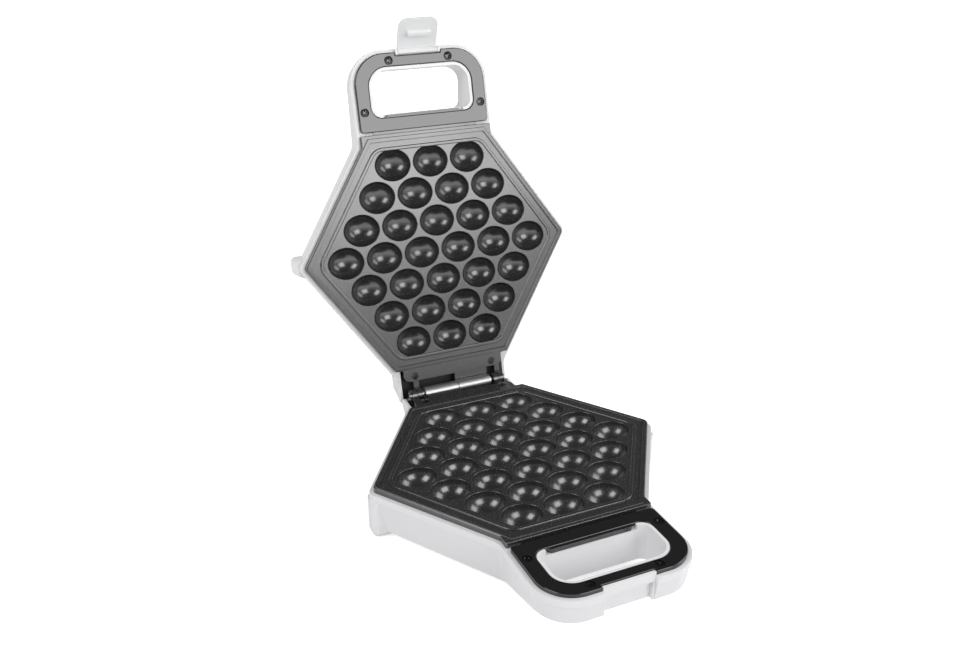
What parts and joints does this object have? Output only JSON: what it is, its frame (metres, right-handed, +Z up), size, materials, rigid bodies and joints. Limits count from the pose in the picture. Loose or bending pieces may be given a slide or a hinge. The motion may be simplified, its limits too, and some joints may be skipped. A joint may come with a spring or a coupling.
{
  "type": "egg waffle pan",
  "caption": "Hexagonal hinged waffle iron with oval cells in both plates, a looped handle on each half and a swinging latch.",
  "frame": {"origin": "on the plane of the feet, under the middle of the base plate's cells", "axes": "+Z up, -Y towards the handles, X along the hinge pin"},
  "size_m": [0.2546, 0.4069, 0.3602],
  "materials": {
    "nonstick_plate": "satin dark-grey non-stick coating on cast aluminium",
    "white_casing": "gloss white moulded plastic",
    "black_cover": "gloss black moulded plastic",
    "heater_sheath": "dull steel sheath",
    "shield_steel": "sheet steel",
    "black_block": "matt black heat-proof moulding",
    "ceramic_body": "pale ceramic-filled moulding",
    "fuse_metal": "bright metal",
    "dark_screw": "blackened steel",
    "bright_screw": "zinc-plated steel",
    "rubber_feet": "matt dark rubber",
    "pin_steel": "drawn steel",
    "red_lens": "clear red",
    "green_lens": "clear green",
    "lamp_glass": "clear glass",
    "latch_plastic": "milky white, slightly translucent"
  },
  "bodies": {
    "base": {"base_plate": "nonstick_plate", "base_shell": "white_casing", "base_handle_cover": "black_cover", "base_heating_element": "heater_sheath", "base_heat_shield": "shield_steel", "base_hinge_block": "black_block", "base_thermostat": "ceramic_body", "base_thermal_fuse": "fuse_metal", "base_cover_screws": "dark_screw", "base_plate_screws": "dark_screw", "base_shield_screws": "bright_screw", "terminal_block": "black_block", "cord_bushing": "black_block", "rubber_feet": "rubber_feet", "hinge_pin": "pin_steel", "pin_clips": "pin_steel"},
    "lid": {"lid_plate": "nonstick_plate", "lid_shell": "white_casing", "lid_handle_cover": "black_cover", "lid_heating_element": "heater_sheath", "lid_heat_shield": "shield_steel", "lid_hinge_block": "black_block", "lid_thermostat": "ceramic_body", "lid_thermal_fuse": "fuse_metal", "lid_cover_screws": "dark_screw", "lid_plate_screws": "dark_screw", "lid_shield_screws": "bright_screw", "red_lens": "red_lens", "green_lens": "green_lens", "indicator_lamps": "lamp_glass", "latch_pin": "pin_steel"},
    "latch": {"latch": "latch_plastic"}
  },
  "joints": [
    {"name": "lid_hinge", "type": "hinge", "parent": "base", "child": "lid", "pos_m": [0, 0.1267, 0.04294], "axis": [1, 0, 0], "range_deg": [0, 104.6]},
    {"name": "latch_hinge", "type": "hinge", "parent": "lid", "child": "latch", "pos_m": [0, 0.20838, 0.33126], "axis": [-1, 0, 0], "range_deg": [-60, 35]}
  ]
}
